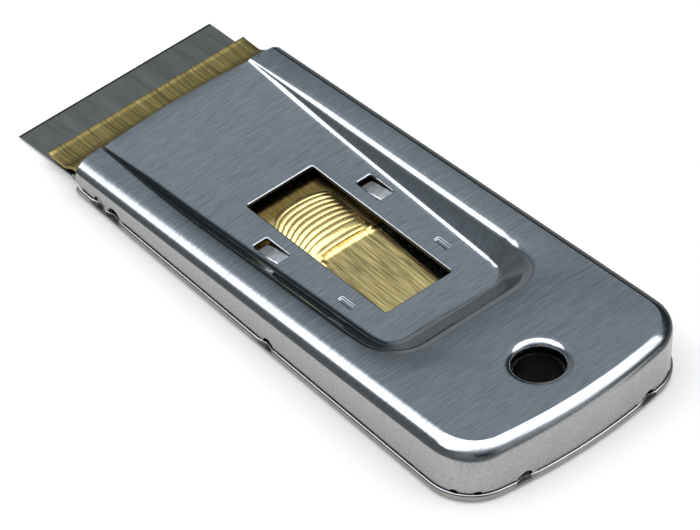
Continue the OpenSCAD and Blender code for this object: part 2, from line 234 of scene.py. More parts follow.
def panel_z(y):
    """Height of the recessed panel, with a soft bend where it turns up to the front."""
    front_z = TOP_FRONT_Z - FRONT_DIP
    low = PANEL_LOW_Z + (PANEL_REAR_Z - PANEL_LOW_Z) * (PANEL_LOW_Y - y) / (PANEL_LOW_Y - PANEL_Y0)
    high = PANEL_LOW_Z + (front_z - PANEL_LOW_Z) * (y - PANEL_LOW_Y) / (FRONT_Y - PANEL_LOW_Y)
    return soft_max(low, high, PANEL_BEND)


def panel_half(y):
    """Half width of the flat of the panel."""
    return PANEL_HALF + (y - PANEL_Y0) * PANEL_SPLAY


def panel_outline(out, sides=60, corner=14):
    """Open outline round the panel, moved outwards, from the front left to the front right."""
    r = bpy.context.scene.scraper_shell.panel_corner / MM
    front = FRONT_Y + PANEL_OVERRUN
    left = []
    for i in range(sides):
        y = front - (front - PANEL_Y0 - r) * i / (sides - 1)
        left.append((-panel_half(y) - out, y))
    cx, cy = panel_half(PANEL_Y0) - r, PANEL_Y0 + r
    for i in range(1, corner + 1):
        a = math.pi + math.pi / 2 * i / corner
        left.append((-cx + (r + out) * math.cos(a), cy + (r + out) * math.sin(a)))
    return left + [(-x, y) for x, y in reversed(left)]


def panel_distance(x, y):
    """Distance outwards from the edge of the panel's flat, and how far that way leads to the rear."""
    r = bpy.context.scene.scraper_shell.panel_corner / MM
    x = x if x > 0 else -x - LEFT_WALL_OUT
    cx, cy = panel_half(PANEL_Y0) - r, PANEL_Y0 + r
    if y >= cy:
        return x - panel_half(y), 0.0
    dx, dy = x - cx, cy - y
    if dx <= 0:
        return dy - r, 1.0
    return math.hypot(dx, dy) - r, dy / math.hypot(dx, dy)


def wall_run(back):
    """Run of the panel's wall for each mm of depth; back is 0 at its sides and 1 at its rear."""
    props = bpy.context.scene.scraper_shell
    side, rear = math.tan(props.panel_wall), math.tan(props.panel_rear_wall)
    return side + (rear - side) * smooth(back)


def shell_height(x, y):
    """Height of the shell's upper side inside the rounded edge."""
    p = bpy.context.scene.scraper_shell
    top, panel = top_z(y), panel_z(y)
    out, back = panel_distance(x, y)
    depth = max(top - panel, 0.02)
    fillet = (p.panel_fillet + (p.panel_fillet_left - p.panel_fillet) * smooth(0.5 - x / 4)) / MM
    # where the wall is low, its crease and its crest are less round
    crease = min(fillet, (0.55 if x > 0 else 0.9) * depth)
    crest = min(p.crest_round / MM, 0.45 * depth)
    z = soft_min(top, soft_max(panel, panel + out / wall_run(back), crease), crest)
    r = math.hypot(x, y)
    if r < HOLE_R + ROLL_W:
        u = min((HOLE_R + ROLL_W - r) / ROLL_W, 1.0)
        z = top - ROLL_R + ROLL_R * math.sqrt(1 - u * u)
    for rect in LUGS:
        z -= LUG_DEPTH * smooth(-rect_distance(x, y, rect, LUG_R) / LUG_RUN)
    return z


def shell_plan(expand=0.0, sides=56, corner=22, rear=12):
    """Plan of the shell's wall as (point, outward normal) pairs, from the front left
    round the rear to the front right."""
    left = []
    cx, cy = half_w(0) - CORNER_R, REAR_Y + CORNER_R + REAR_BOW
    for i in range(sides):
        # the points grow apart a little to the rear
        y = FRONT_Y - (FRONT_Y - cy) * (i / sides) ** 1.15
        nx, ny = Vector((-1.0, -SIDE_SPLAY if y > 0 else 0.0)).normalized()
        left.append((Vector((-half_w(y), y)), Vector((nx, ny * smooth(y / 6.0)))))
    lean = math.atan2(2 * REAR_BOW, cx)
    for i in range(corner):
        a = math.pi + (math.pi / 2 - lean) * i / corner
        n = Vector((math.cos(a), math.sin(a)))
        left.append((Vector((-cx, cy)) + n * CORNER_R, n))
    for i in range(rear):
        a = -1 + i / rear
        n = Vector((2 * REAR_BOW * a / cx, -1.0)).normalized()
        left.append((Vector((cx * a, REAR_Y + CORNER_R + REAR_BOW * a * a)) + n * CORNER_R, n))
    middle = [(Vector((0.0, REAR_Y)), Vector((0.0, -1.0)))]
    right = [(Vector((-p.x, p.y)), Vector((-n.x, n.y))) for p, n in reversed(left)]
    return [(p + n * expand, n) for p, n in left + middle + right]


def bulge(n):
    """How far the wall leans out over the tray."""
    return BULGE * (1 + 1.4 * max(-n.y, 0.0) - 0.5 * max(n.x, 0.0))


def edge_profile(p, n):
    """Section of the shell's top edge as (inset from the wall, drop from the top):
    four arcs, tight at first, and longer at the rear than at the sides."""
    props = bpy.context.scene.scraper_shell
    back = n.y * n.y if n.y < 0 else 0.0
    low = EDGE_SIDE_R + EDGE_SIDE_GROWTH * (FRONT_Y - max(p.y, 0.0)) / FRONT_Y
    sides = (EDGE_FIRST_R, props.edge_side / MM, low, low)
    rears = (EDGE_FIRST_R, props.edge_rear / MM, EDGE_REAR_R, EDGE_REAR_R)
    # the right side is bent a little tighter
    tight = 1 - 0.25 * smooth(n.x)
    arcs = [(a + (b - a) * back) * tight for a, b in zip(sides, rears)]
    x = z = 0.0
    out = [(x, z)]
    for a, b in zip(EDGE_ANGLES, EDGE_ANGLES[1:]):
        arc = arcs[sum(b > end for end in ARC_ENDS)]
        a, b = math.radians(a), math.radians(b)
        x += arc * (math.sin(b) - math.sin(a))
        z += arc * (math.cos(a) - math.cos(b))
        out.append((x, z))
    return [(x - a, b) for a, b in out]


def near_notch(p, n):
    """How deep the tray is crimped in at a point of the plan, from 0 to 1."""
    best = 0.0
    if abs(n.x) > 0.7:
        best = max(1 - ((p.y - y) / r) ** 2 for y, r in NOTCHES_SIDE)
    if n.y < -0.7:
        best = max([best] + [1 - ((p.x - x) / r) ** 2 for x, r in NOTCHES_REAR])
    return max(best, 0.0)


# Outlines in plan, and the sheets that fill them
def circle(radius, steps, centre=(0.0, 0.0), tall=1.0):
    """Points round a circle, which tall can stretch upwards."""
    turns = [2 * math.pi * i / steps for i in range(steps)]
    return [(centre[0] + radius * math.cos(a), centre[1] + radius * math.sin(a) * tall) for a in turns]


def rounded_rect(rect, r, out=0.0, steps=5):
    """Outline of a rectangle with round corners, moved outwards."""
    x0, x1, y0, y1 = rect
    corners = ((x1 - r, y1 - r, 0), (x0 + r, y1 - r, 90), (x0 + r, y0 + r, 180), (x1 - r, y0 + r, 270))
    points = []
    for cx, cy, start in corners:
        for k in range(steps + 1):
            a = math.radians(start + 90 * k / steps)
            points.append((cx + (r + out) * math.cos(a), cy + (r + out) * math.sin(a)))
    return points


def rect_distance(x, y, rect, r):
    """Distance outwards from a rectangle with round corners, below zero inside it."""
    x0, x1, y0, y1 = rect
    dx = abs(x - (x0 + x1) / 2) - (x1 - x0) / 2 + r
    dy = abs(y - (y0 + y1) / 2) - (y1 - y0) / 2 + r
    return math.hypot(max(dx, 0.0), max(dy, 0.0)) + min(max(dx, dy), 0.0) - r


def point_inside(x, y, ring):
    """True inside a closed outline."""
    hit = False
    j = len(ring) - 1
    for i in range(len(ring)):
        if (ring[i].y > y) != (ring[j].y > y):
            if x < (ring[j].x - ring[i].x) * (y - ring[i].y) / (ring[j].y - ring[i].y) + ring[i].x:
                hit = not hit
        j = i
    return hit


def edge_gap(x, y, rings):
    """Least distance from a point to closed outlines in plan."""
    point, best = Vector((x, y)), math.inf
    for ring in rings:
        for a, b in zip(ring, ring[1:] + ring[:1]):
            d = b - a
            u = min(max((point - a).dot(d) / d.length_squared, 0.0), 1.0) if d.length_squared else 0.0
            best = min(best, (a + d * u - point).length)
    return best


class Patch:
    """Points and edges in plan, to be filled with triangles."""

    def __init__(self):
        self.points, self.edges = [], []

    def line(self, points, closed=True):
        """Adds a line through the points, whose edges the triangles keep."""
        start, last = len(self.points), len(self.points) + len(points) - 1
        self.points.extend(Vector(p) for p in points)
        self.edges.extend((i, i + 1) for i in range(start, last))
        if closed:
            self.edges.append((last, start))

    def fill(self, keep):
        """The corners of the triangles, and the triangles whose middle passes the test."""
        out = delaunay_2d_cdt(self.points, self.edges, [], 0, 1e-5)
        corners, faces = out[0], []
        for face in out[2]:
            x = sum(corners[i].x for i in face) / len(face)
            y = sum(corners[i].y for i in face) / len(face)
            if keep(x, y):
                faces.append(tuple(face))
        return corners, faces


def grid_faces(rows, columns, start=0):
    """Quads between the rows of a grid of points."""
    faces = []
    for row in range(rows - 1):
        for i in range(columns - 1):
            a = start + row * columns + i
            faces.append((a, a + 1, a + columns + 1, a + columns))
    return faces


def join(sheet, other):
    """One sheet from two, each given as its points and its faces."""
    shift = len(sheet[0])
    return sheet[0] + other[0], sheet[1] + [tuple(shift + i for i in face) for face in other[1]]


# Meshes
def finish_mesh(name, verts, faces):
    """Makes an object from points in millimetres, welded and without slivers."""
    mesh = bpy.data.meshes.new(name)
    mesh.from_pydata([(x * MM, y * MM, z * MM) for x, y, z in verts], [], faces)
    bm = bmesh.new()
    bm.from_mesh(mesh)
    bmesh.ops.remove_doubles(bm, verts=bm.verts, dist=0.004 * MM)
    bmesh.ops.dissolve_degenerate(bm, edges=bm.edges, dist=0.001 * MM)
    bmesh.ops.recalc_face_normals(bm, faces=bm.faces)
    bm.to_mesh(mesh)
    bm.free()
    obj = bpy.data.objects.new(name, mesh)
    bpy.context.collection.objects.link(obj)
    mesh.polygons.foreach_set("use_smooth", [True] * len(mesh.polygons))
    return obj


def apply_modifiers(obj, sharp=35):
    """Bakes the modifiers into the mesh, and splits its shading at sharp edges."""
    graph = bpy.context.evaluated_depsgraph_get()
    mesh = bpy.data.meshes.new_from_object(obj.evaluated_get(graph))
    obj.modifiers.clear()
    obj.data = mesh
    sharpen(obj, sharp)


def sharpen(obj, angle):
    """Splits the shading where the surface turns by more than the angle."""
    obj.data.set_sharp_from_angle(angle=math.radians(angle))


def thicken(obj, thickness, bevel=0.0):
    """Gives an open sheet its thickness and soft cut edges, in millimetres."""
    solid = obj.modifiers.new("sheet", "SOLIDIFY")
    solid.thickness = thickness * MM
    solid.offset = -1.0
    solid.use_even_offset = True
    if bevel:
        edges = obj.modifiers.new("edges", "BEVEL")
        edges.width = bevel * MM
        edges.segments = 2
        edges.limit_method = "ANGLE"
        edges.angle_limit = math.radians(50)
    apply_modifiers(obj)


def round_rims(obj, width):
    """Rounds the upper edges of the window, the slits and the shell's front."""
    bm = bmesh.new()
    bm.from_mesh(obj.data)
    layer = bm.edges.layers.float.new("bevel_weight_edge")
    for e in bm.edges:
        if len(e.link_faces) == 2 and e.calc_face_angle(0.0) > math.radians(60):
            mid = (e.verts[0].co + e.verts[1].co) / 2 / MM
            near = any(abs(rect_distance(mid.x, mid.y, rect, r)) < 0.06 for rect, r in HOLES)
            front = abs(mid.x) < 16 and abs(mid.y - front_edge_y(mid.x)) < 0.1
            upper = mid.z > shell_height(mid.x, mid.y) - 0.2
            e[layer] = (1.0 if near else 0.4 if front else 0.0) if upper else 0.0
    bm.to_mesh(obj.data)
    bm.free()
    rims = obj.modifiers.new("rims", "BEVEL")
    rims.width = width * MM
    rims.segments = 4
    rims.limit_method = "WEIGHT"
    rims.use_clamp_overlap = False
    apply_modifiers(obj, 40)


def orient(obj, way=1, below=math.inf):
    """Turns the faces of an open sheet so that most of them look up, or down where way
    is -1; only the faces below a height are counted."""
    total = sum(f.normal.z * f.area for f in obj.data.polygons if f.center.z < below * MM)
    if total * way < 0:
        obj.data.flip_normals()


def flat_sheet(name, outline, height, step, hole=()):
    """Open sheet inside an outline in plan, lifted to height(x, y)."""
    outline, hole = [Vector(p) for p in outline], [Vector(p) for p in hole]
    patch = Patch()
    patch.line(outline)
    if hole:
        patch.line(hole)
    x = min(p.x for p in outline) + step / 2
    while x < max(p.x for p in outline):
        y = min(p.y for p in outline) + step / 2
        while y < max(p.y for p in outline):
            if point_inside(x, y, outline) and edge_gap(x, y, (outline, hole)) > 0.35 * step:
                patch.points.append(Vector((x, y)))
            y += step
        x += step
    corners, faces = patch.fill(lambda x, y: point_inside(x, y, outline) and not point_inside(x, y, hole))
    sheet = finish_mesh(name, [(v.x, v.y, height(v.x, v.y)) for v in corners], faces)
    orient(sheet)
    return sheet


# Top shell
def face_outline(steps=40):
    """Outline of the top face, where the rounded edge begins, closed along the bowed front."""
    ring = [p + n * (bulge(n) - edge_profile(p, n)[0][0]) for p, n in shell_plan()]
    for end in (ring[0], ring[-1]):
        end.y = front_edge_y(end.x)
    xs = [ring[-1].x * (1 - 2 * i / steps) for i in range(1, steps)]
    return ring + [Vector((x, front_edge_y(x))) for x in xs]


def crest_line(shift):
    """Line along the crest of the panel's wall, moved outwards."""
    line = []
    for a, b in zip(panel_outline(0.0), panel_outline(1.0)):
        y = a[1]
        for _ in range(4):
            run = (top_z(y) - panel_z(y)) * wall_run(a[1] - b[1]) + shift
            y = a[1] + (b[1] - a[1]) * run
        # the lines stay apart where the wall dies out
        run = max(run, 0.6 + 0.2 * shift)
        line.append((a[0] + (b[0] - a[0]) * run, a[1] + (b[1] - a[1]) * run))
    return line


def top_face():
    """The face inside the rounded edge: triangles in plan, lifted to height."""
    boundary = face_outline()
    patch = Patch()
    patch.line(boundary)
    # the foot of the panel's wall, and its crest
    for out in (-1.3, -1.0, -0.75, -0.5, -0.3, -0.15, 0.0, 0.15, 0.3, 0.5):
        patch.line(panel_outline(out), closed=False)
    for shift in (-1.0, -0.7, -0.5, -0.35, -0.2, -0.08, 0.04, 0.16, 0.3, 0.45, 0.65, 0.9):
        patch.line(crest_line(shift), closed=False)
    # the rolled rim of the hole, the openings and the lugs
    for k in range(13):
        patch.line(circle(HOLE_R + ROLL_W * (1 - math.sin(math.radians(90 * k / 12))), 72))
    patch.line(circle(HOLE_R + ROLL_W + 0.3, 72))
    for rect, r in HOLES:
        patch.line(rounded_rect(rect, r))
        patch.line(rounded_rect(rect, r, 0.34))
    for rect in LUGS:
        for k in range(-1, 7):
            patch.line(rounded_rect(rect, LUG_R, -0.05 * k))
    # loose points over the flat of the panel
    y = 24.0
    while y < FRONT_Y - 1:
        patch.points.extend(Vector((x, y)) for x in range(-12, 13, 3))
        y += 1.6

    def on_sheet(x, y):
        in_hole = math.hypot(x, y) < HOLE_R or any(rect_distance(x, y, rect, r) < 0 for rect, r in HOLES)
        return not in_hole and point_inside(x, y, boundary)

    corners, faces = patch.fill(on_sheet)
    return [(v.x, v.y, shell_height(v.x, v.y)) for v in corners], faces


def rounded_edge(plan):
    """Rows of points down the rounded edge, from the top face to the wall."""
    sections = [edge_profile(p, n) for p, n in plan]
    verts = []
    for k in range(len(EDGE_ANGLES)):
        for i, (p, n) in enumerate(plan):
            inset, drop = sections[i][k]
            q = p + n * (bulge(n) - inset)
            if i in (0, len(plan) - 1):
                q.y = front_edge_y(q.x)
            verts.append((q.x, q.y, top_z(q.y) - drop))
    return verts


def corner_cut(s, whole):
    """Height cut off the wall's lower corner near its two front ends."""
    height, length = 1.9, 2.6
    return height * max(0.0, 1 - min(s, whole - s) / length)


def wall_cuts(plan, along):
    """The round notches and cuts in the wall, as (distance along the plan, radius)."""
    cuts = []
    for i in range(len(plan) - 1):
        (p, n), (q, m) = plan[i], plan[i + 1]
        marks = []
        if abs(n.x) > 0.7:
            marks += [(p.y, q.y, y, r) for y, r in NOTCHES_SIDE]
        if n.y < -0.7:
            marks += [(p.x, q.x, x, r) for x, r in NOTCHES_REAR]
        a, b = [math.degrees(math.atan2(v.y, -abs(v.x))) % 360 for v in (n, m)]
        marks += [(a, b, turn, CORNER_CUT_R) for turn in CORNER_CUTS]
        for a, b, mark, r in marks:
            if (a - mark) * (b - mark) <= 0 and a != b:
                cuts.append((along[i] + (along[i + 1] - along[i]) * (mark - a) / (b - a), r))
    return cuts


def shell_wall(plan, tops):
    """The wall below the rounded edge, cut in its own plane so that the notches are clean."""
    along = [0.0]
    for (p, _), (q, _) in zip(plan, plan[1:]):
        along.append(along[-1] + (q - p).length)
    patch = Patch()
    for i, (s, top) in enumerate(zip(along, tops)):
        patch.points += [Vector((s, top)), Vector((s, WALL_LOW_Z + corner_cut(s, along[-1])))]
        patch.edges.append((2 * i, 2 * i + 1))
        if i:
            patch.edges += [(2 * i - 2, 2 * i), (2 * i - 1, 2 * i + 1)]
    cuts = wall_cuts(plan, along)
    for s, r in cuts:
        patch.line(circle(r, 28, (s, NOTCH_Z), NOTCH_TALL))

    def stretch(s):
        i = 0
        while i < len(plan) - 2 and along[i + 1] < s:
            i += 1
        return i, (s - along[i]) / (along[i + 1] - along[i])

    def on_wall(s, z):
        if any(math.hypot(s - c, (z - NOTCH_Z) / NOTCH_TALL) < r * 0.99 for c, r in cuts):
            return False
        i, u = stretch(s)
        return WALL_LOW_Z + corner_cut(s, along[-1]) <= z <= tops[i] + (tops[i + 1] - tops[i]) * u

    corners, faces = patch.fill(on_wall)
    verts = []
    for s, z in corners:
        i, u = stretch(s)
        (p, n), (q, _) = plan[i], plan[i + 1]
        w = p + (q - p) * u + n * bulge(n) * smooth(z - NOTCH_Z)
        verts.append((w.x, w.y, z))
    return verts, faces


def shell_skin():
    """Outer skin of the shell: top face, rounded edge and wall."""
    plan = shell_plan()
    edge = rounded_edge(plan)
    skin = join(top_face(), (edge, grid_faces(len(EDGE_ANGLES), len(plan))))
    return join(skin, shell_wall(plan, [v[2] for v in edge[-len(plan):]]))


def bent_tab(rect):
    """A lanced tab, hinged at its rear and bent down to the front."""
    x0, x1, y0, y1 = rect
    side, gap, root, drop = 0.2, 0.6, 0.3, 0.82
    outline = [(x0 + side, y0 - root), (x1 - side, y0 - root)]
    # the round front corners only
    outline += rounded_rect((x0 + side, x1 - side, y0, y1 - gap), 0.4)[:12]
    base = panel_z(y0) - 0.03

    def height(x, y):
        return base - drop * smooth((y - y0) / (y1 - y0 - gap))

    tab = flat_sheet("shell_tab_" + ("left" if x0 < 0 else "right"), outline, height, 0.3)
    thicken(tab, 0.5, 0.12)
    return tab


# Shader nodes
def add_node(tree, kind, inputs=None, **settings):
    """Adds a shader node, sets it up, and gives each of its inputs a value or a link."""
    node = tree.nodes.new("ShaderNode" + kind)
    for key, value in settings.items():
        setattr(node, key, value)
    for key, value in (inputs or {}).items():
        if isinstance(value, bpy.types.NodeSocket):
            tree.links.new(value, node.inputs[key])
        else:
            node.inputs[key].default_value = value
    return node


def calc(tree, operation, *values):
    """Result of a Math node on values or sockets."""
    return add_node(tree, "Math", dict(enumerate(values)), operation=operation).outputs[0]


def noise(tree, place, scale, detail, roughness=0.5):
    """Noise from 0 to 1 at a place."""
    inputs = {"Vector": place, "Scale": scale, "Detail": detail, "Roughness": roughness}
    return add_node(tree, "TexNoise", inputs).outputs["Fac"]


def map_noise(tree, source, a, b):
    """Stretches the middle half of a noise from a to b."""
    ends = {"From Min": 0.25, "From Max": 0.75, "To Min": a, "To Max": b}
    return add_node(tree, "MapRange", {"Value": source, **ends}).outputs["Result"]


def soft_step(tree, source, a, b):
    """Zero at a and beyond, one at b and beyond, smooth between."""
    ends = {"From Min": min(a, b), "From Max": max(a, b), "To Min": float(a > b), "To Max": float(a < b)}
    step = add_node(tree, "MapRange", {"Value": source, **ends}, interpolation_type="SMOOTHSTEP")
    return step.outputs["Result"]


def ramp(tree, source, stops):
    """Colours between (place, colour) stops."""
    node = add_node(tree, "ValToRGB", {"Fac": source})
    elements = node.color_ramp.elements
    while len(elements) < len(stops):
        elements.new(0.5)
    for element, (place, colour) in zip(elements, stops):
        element.position = place
        element.color = (*colour, 1.0)
    return node.outputs["Color"]


def reach(tree, vector, axis):
    """How far a position or direction reaches along an axis."""
    return add_node(tree, "VectorMath", {0: vector, 1: axis}, operation="DOT_PRODUCT").outputs["Value"]


def mix_shader(tree, share, first, second):
    """Blend of two shaders."""
    return add_node(tree, "MixShader", {0: share, 1: first, 2: second}).outputs[0]


def new_material(name):
    """A material with a Principled shader on its output."""
    mat = bpy.data.materials.new(name)
    mat.use_nodes = True
    mat.node_tree.nodes.clear()
    shader = add_node(mat.node_tree, "BsdfPrincipled")
    add_node(mat.node_tree, "OutputMaterial", {0: shader.outputs[0]})
    return mat, mat.node_tree, shader


def grain_group():
    """Fine parallel scratches: noise stretched along one axis, in object space."""
    name = "brushed grain"
    if name in bpy.data.node_groups:
        return bpy.data.node_groups[name]
    group = bpy.data.node_groups.new(name, "ShaderNodeTree")
    group.interface.new_socket(name="Scale", in_out="INPUT", socket_type="NodeSocketVector")
    group.interface.new_socket(name="Coarse", in_out="INPUT", socket_type="NodeSocketFloat")
    group.interface.new_socket(name="Fine", in_out="OUTPUT", socket_type="NodeSocketFloat")
    group.interface.new_socket(name="Broad", in_out="OUTPUT", socket_type="NodeSocketFloat")
    given = group.nodes.new("NodeGroupInput")
    result = group.nodes.new("NodeGroupOutput")
    place = add_node(group, "TexCoord").outputs["Object"]
    fine = add_node(group, "VectorMath", {0: place, 1: given.outputs["Scale"]}, operation="MULTIPLY")
    broad = {0: fine.outputs[0], "Scale": given.outputs["Coarse"]}
    broad = add_node(group, "VectorMath", broad, operation="SCALE")
    group.links.new(noise(group, fine.outputs[0], 1.0, 3.0, 0.65), result.inputs["Fine"])
    group.links.new(noise(group, broad.outputs[0], 1.0, 2.0), result.inputs["Broad"])
    return group


def brushed_metal(name, dark, light, rough, scale, coarse=0.3, bump=0.1, anisotropic=0.0, flats=0.0):
    """Metal with a parallel grain; flats above 0 keeps that share of the grain to faces that look up."""
    mat, tree, shader = new_material(name)
    grain = add_node(tree, "Group", node_tree=grain_group())
    grain.inputs["Scale"].default_value = scale
    grain.inputs["Coarse"].default_value = coarse
    fine = grain.outputs["Fine"]
    tone = calc(tree, "MULTIPLY", calc(tree, "ADD", fine, grain.outputs["Broad"]), 0.5)
    if flats:
        coord = add_node(tree, "TexCoord")
        way = add_node(tree, "SeparateXYZ", {0: coord.outputs["Normal"]})
        up = soft_step(tree, calc(tree, "ABSOLUTE", way.outputs["Z"]), 0.3, 0.9)
        share = calc(tree, "MULTIPLY_ADD", up, flats, 1.0 - flats)
        swing = calc(tree, "MULTIPLY", calc(tree, "SUBTRACT", tone, 0.5), share)
        # the walls are speckled instead
        speck = calc(tree, "SUBTRACT", noise(tree, coord.outputs["Object"], 3000.0, 2.0), 0.5)
        steep = calc(tree, "MULTIPLY", calc(tree, "SUBTRACT", 1.0, up), 0.55)
        swing = calc(tree, "ADD", swing, calc(tree, "MULTIPLY", steep, speck))
        tone = calc(tree, "ADD", swing, 0.5)
    roughness = map_noise(tree, tone, *rough)
    if flats:
        # faces that look to the rear were brushed more coarsely
        rear = calc(tree, "MULTIPLY", soft_step(tree, way.outputs["Y"], -0.2, -0.6), 0.13)
        roughness = calc(tree, "ADD", roughness, rear)
    tree.links.new(ramp(tree, tone, [(0.36, dark), (0.64, light)]), shader.inputs["Base Color"])
    tree.links.new(roughness, shader.inputs["Roughness"])
    shader.inputs["Metallic"].default_value = 1.0
    if anisotropic:
        # the grain runs along x, so a light is spread along y
        shader.inputs["Anisotropic"].default_value = anisotropic
        spread = add_node(tree, "CombineXYZ", {"Y": 1.0, "Z": 0.2})
        tree.links.new(spread.outputs[0], shader.inputs["Tangent"])
    relief = add_node(tree, "Bump", {"Strength": bump, "Distance": 0.04 * MM, "Height": fine})
    tree.links.new(relief.outputs["Normal"], shader.inputs["Normal"])
    return mat


def grime(mat, start, end, colour, amount):
    """Paints shade, and in one place some stain, darkening a piece towards the front, from one length along it
    to another.
    """
    tree = mat.node_tree
    shader = next(n for n in tree.nodes if n.type == "BSDF_PRINCIPLED")
    place = add_node(tree, "TexCoord").outputs["Object"]
    along = add_node(tree, "SeparateXYZ", {0: place}).outputs["Y"]
    patchy = map_noise(tree, noise(tree, place, 1400.0, 3.0), amount * 0.8, amount * 1.1)
    where = calc(tree, "MULTIPLY", soft_step(tree, along, start * MM, end * MM), patchy)
    unshaded = shader.inputs["Base Color"].links[0].from_socket
    mix = add_node(tree, "Mix", {"Factor": where, "A": unshaded, "B": (*colour, 1)}, data_type="RGBA")
    tree.links.new(mix.outputs["Result"], shader.inputs["Base Color"])


# Materials
EVEN = (900.0, 900.0, 900.0)


def shell_steel(name):
    steel = Vector(bpy.context.scene.scraper_finish.steel)
    return brushed_metal(name, steel * 0.80, steel * 1.18, rough=(0.07, 0.10), scale=(420.0, 7500.0, 1500.0),
                         coarse=0.5, bump=0.08, anisotropic=0.6, flats=0.8)


# Painted shade: the cut sides of the window and the slits, nearly black.
def cut_steel(name):
    return brushed_metal(name, (0.03, 0.03, 0.03), (0.06, 0.06, 0.06), rough=(0.5, 0.6), scale=EVEN)


def tab_steel(name):
    # The tab is pressed from the shell's own steel, but painted much lighter: a painted highlight.
    mat = brushed_metal(name, (0.50, 0.51, 0.55), (0.9, 0.9, 0.95), rough=(0.34, 0.5),
                        scale=(900.0, 1500.0, 900.0), bump=0.5)
    # Painted shade darkens the tab to its front, where it dips below the panel.
    grime(mat, 45.5, 49.5, (0.18, 0.18, 0.19), 0.9)
    return mat


def tray_steel(name):
    return brushed_metal(name, (0.33, 0.33, 0.34), (0.40, 0.40, 0.41), rough=(0.2, 0.32),
                         scale=(900.0, 900.0, 200.0))


# Painted shade in the crimped dents of the tray's rim.
def crimp_steel(name):
    return brushed_metal(name, (0.07, 0.075, 0.075), (0.15, 0.155, 0.155), rough=(0.3, 0.45),
                         scale=EVEN, bump=0.2)


# Painted shade: the eyelet's wall inside the hanging hole, nearly black.
def eyelet_steel(name):
    return brushed_metal(name, (0.015, 0.018, 0.018), (0.03, 0.034, 0.034), rough=(0.4, 0.55),
                         scale=(900.0, 900.0, 200.0))


def strip_brass(name):
    """The darker, olive brass of the blade holder"""
    olive = Vector(bpy.context.scene.scraper_finish.olive)
    return brushed_metal(name, olive * 0.40, olive * 1.15, rough=(0.22, 0.34), scale=(4200.0, 130.0, 800.0),
                         coarse=0.6, bump=0.35)


def leaf_brass(name):
    """Brass of the thumb leaf, with painted shade and some stain under the front of the window, and a painted
    shadow under its front edge
    """
    brass = Vector(bpy.context.scene.scraper_finish.brass)
    mat = brushed_metal(name, brass * 0.34, brass * 1.50, rough=(0.18, 0.3), scale=(8000.0, 260.0, 800.0),
                        coarse=0.6, bump=0.4)
    # Painted shade, with some stain, on the leaf under the window's front.
    grime(mat, 52.5, 54.0, (0.26, 0.165, 0.03), 0.85)
    # Painted shadow of the window's front edge, nearly black.
    grime(mat, 55.3, 56.2, (0.012, 0.009, 0.004), 0.95)
    return mat


def pad_brass(name):
    brass = Vector(bpy.context.scene.scraper_finish.brass)
    return brushed_metal(name, brass * 0.9, brass * 1.25, rough=(0.2, 0.34), scale=EVEN, bump=0.2)


def blade_steel(name):
    return brushed_metal(name, (0.215, 0.22, 0.215), (0.27, 0.275, 0.27), rough=(0.25, 0.36),
                         scale=(1500.0, 160.0, 500.0), coarse=0.25)


def edge_steel(name):
    """The ground cutting edge, painted nearly black along its bevel"""
    return brushed_metal(name, (0.006, 0.006, 0.007), (0.014, 0.014, 0.015), rough=(0.2, 0.3), scale=EVEN)


def spine_steel(name):
    return brushed_metal(name, (0.40, 0.41, 0.42), (0.5, 0.51, 0.52), rough=(0.28, 0.4),
                         scale=(160.0, 1500.0, 500.0), coarse=0.25, bump=0.2)


METALS = (shell_steel, cut_steel, tab_steel, tray_steel, crimp_steel, eyelet_steel, strip_brass, leaf_brass,
          pad_brass, blade_steel, edge_steel, spine_steel)
FINISHES = {metal.__name__.replace("_", " "): metal for metal in METALS}


def material(name):
    """A finish by its name, made once."""
    if name not in bpy.data.materials:
        FINISHES[name](name)
    return bpy.data.materials[name]


def dress(obj, finish, second=None, on_second=None):
    """Gives a piece its finish, and a second one to the faces whose middle, in
    millimetres, and normal pass a test."""
    slots = obj.data.materials
    if not slots:
        slots.append(None)
    for i in range(len(slots)):
        slots[i] = material(finish)
    if second:
        slots.append(material(second))
        for face in obj.data.polygons:
            if on_second(face.center / MM, face.normal):
                face.material_index = 1


# Properties
class ScraperShell(bpy.types.PropertyGroup):
    sheet: FloatProperty(
        name="Sheet", description="Thickness of the shell's steel", default=SHELL_SHEET * MM, unit="LENGTH")
    edge_side: FloatProperty(
        name="Side edge radius", description="Radius of the top edge along the sides",
        default=0.0060, unit="LENGTH")
    edge_rear: FloatProperty(
        name="Rear edge radius", description="Radius of the top edge at the rear",
        default=0.0037, unit="LENGTH")
    hole_rim: FloatProperty(
        name="Punched rim", description="Roll-over of the window's and the tabs' cut edges",
        default=0.00024, unit="LENGTH")
    panel_corner: FloatProperty(
        name="Panel corner", description="Radius of the panel's rear corners", default=0.0035, unit="LENGTH")
    panel_wall: FloatProperty(
        name="Panel wall", description="Slope of the panel's wall from vertical",
        default=math.radians(46.5), unit="ROTATION")
    panel_rear_wall: FloatProperty(
        name="Panel rear wall", description="Slope of the panel's rear wall from vertical",
        default=math.radians(51), unit="ROTATION")
    panel_fillet: FloatProperty(
        name="Panel fillet", description="Softness of the crease round the panel",
        default=0.0005, unit="LENGTH")
    panel_fillet_left: FloatProperty(
        name="Left fillet", description="Softness of the crease on the panel's left side",
        default=0.0011, unit="LENGTH")
    crest_round: FloatProperty(
        name="Crest", description="Softness of the crest round the panel", default=0.0009, unit="LENGTH")


class ScraperBrass(bpy.types.PropertyGroup):
    sheet: FloatProperty(
        name="Sheet", description="Thickness of the brass", default=BRASS_SHEET * MM, unit="LENGTH")
    ribs: IntProperty(
        name="Ribs", description="Ribs across the thumb pad", default=9, min=4, max=12)
    rib_height: FloatProperty(
        name="Rib height", description="Height of each rib", default=0.00028, unit="LENGTH")


